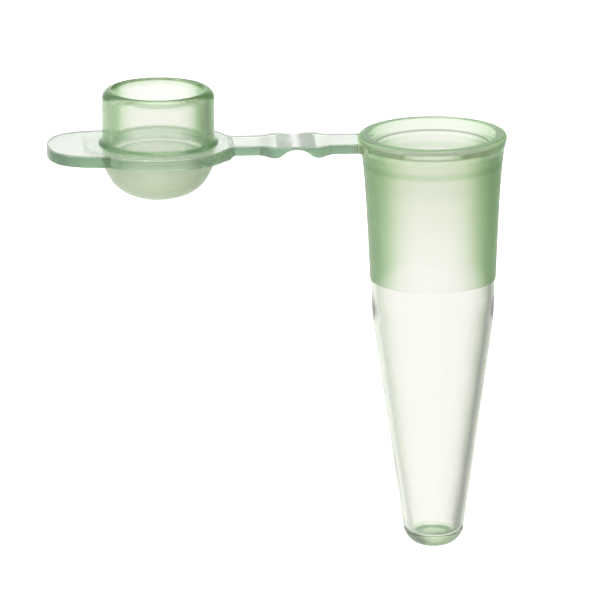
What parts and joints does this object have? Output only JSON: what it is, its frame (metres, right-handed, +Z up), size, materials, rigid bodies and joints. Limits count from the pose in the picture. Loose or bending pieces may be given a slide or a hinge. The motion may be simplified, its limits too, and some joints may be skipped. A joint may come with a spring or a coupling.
{
  "type": "thin-wall microcentrifuge tube",
  "caption": "Small conical thin-wall reaction tube with a frosted upper barrel, clear tapered lower part and an attached domed plug cap on a hinged strap.",
  "frame": {"origin": "centre of the mouth, in the plane of the rim's top face", "axes": "+Z up along the tube's axis and out of the mouth, strap and open cap towards -X, every strap hinge axis along +Y (a positive angle lifts the cap up and over the mouth)"},
  "size_m": [0.0229, 0.0074, 0.0237],
  "materials": {
    "frosted_polypropylene": "fine frosted texture, green tinted, translucent",
    "clear_polypropylene": "polished, faint green tint, clear",
    "plug_polypropylene": "smooth, green tinted, translucent",
    "strap_polypropylene": "smooth satin, green tinted, translucent"
  },
  "bodies": {
    "tube": {"rim_collar": "frosted_polypropylene", "frosted_barrel": "frosted_polypropylene", "thin_wall_cone": "clear_polypropylene", "rounded_tip": "clear_polypropylene"},
    "tube_root": {"tube_root_flexure": "strap_polypropylene"},
    "tube_arm": {"tube_side_strap": "strap_polypropylene"},
    "hinge": {"living_hinge_web": "strap_polypropylene"},
    "cap_arm": {"cap_side_strap": "strap_polypropylene"},
    "cap_root": {"cap_root_flexure": "strap_polypropylene"},
    "cap": {"cap_flange": "frosted_polypropylene", "finger_tab": "frosted_polypropylene", "sealing_plug": "plug_polypropylene", "cap_dome": "clear_polypropylene"}
  },
  "joints": [
    {"name": "strap_root_swing", "type": "hinge", "parent": "tube", "child": "tube_root", "pos_m": [-0.004, 0, -0.00009], "axis": [0, 1, 0], "range_deg": [-15, 30], "deforming": ["tube_root_flexure"]},
    {"name": "strap_root_press", "type": "hinge", "parent": "tube_root", "child": "tube_arm", "pos_m": [-0.004, 0, -0.00009], "axis": [0, 1, 0], "range_deg": [-30, 0], "deforming": ["tube_root_flexure"]},
    {"name": "cap_swing", "type": "hinge", "parent": "tube_arm", "child": "hinge", "pos_m": [-0.0068, 0, -0.00009], "axis": [0, 1, 0], "range_deg": [-60, 120], "deforming": ["living_hinge_web"]},
    {"name": "cap_press", "type": "hinge", "parent": "hinge", "child": "cap_arm", "pos_m": [-0.0068, 0, -0.00009], "axis": [0, 1, 0], "range_deg": [0, 60], "deforming": ["living_hinge_web"]},
    {"name": "cap_root_swing", "type": "hinge", "parent": "cap_arm", "child": "cap_root", "pos_m": [-0.0096, 0, -0.00009], "axis": [0, 1, 0], "range_deg": [-15, 30], "deforming": ["cap_root_flexure"]},
    {"name": "cap_root_press", "type": "hinge", "parent": "cap_root", "child": "cap", "pos_m": [-0.0096, 0, -0.00009], "axis": [0, 1, 0], "range_deg": [-30, 0], "deforming": ["cap_root_flexure"]}
  ],
  "couplings": [
    {"joint": "strap_root_swing", "follows": "cap_swing", "ratio": 0.25},
    {"joint": "cap_root_swing", "follows": "cap_swing", "ratio": 0.25},
    {"joint": "strap_root_press", "follows": "cap_press", "ratio": -0.5},
    {"joint": "cap_root_press", "follows": "cap_press", "ratio": -0.5}
  ]
}
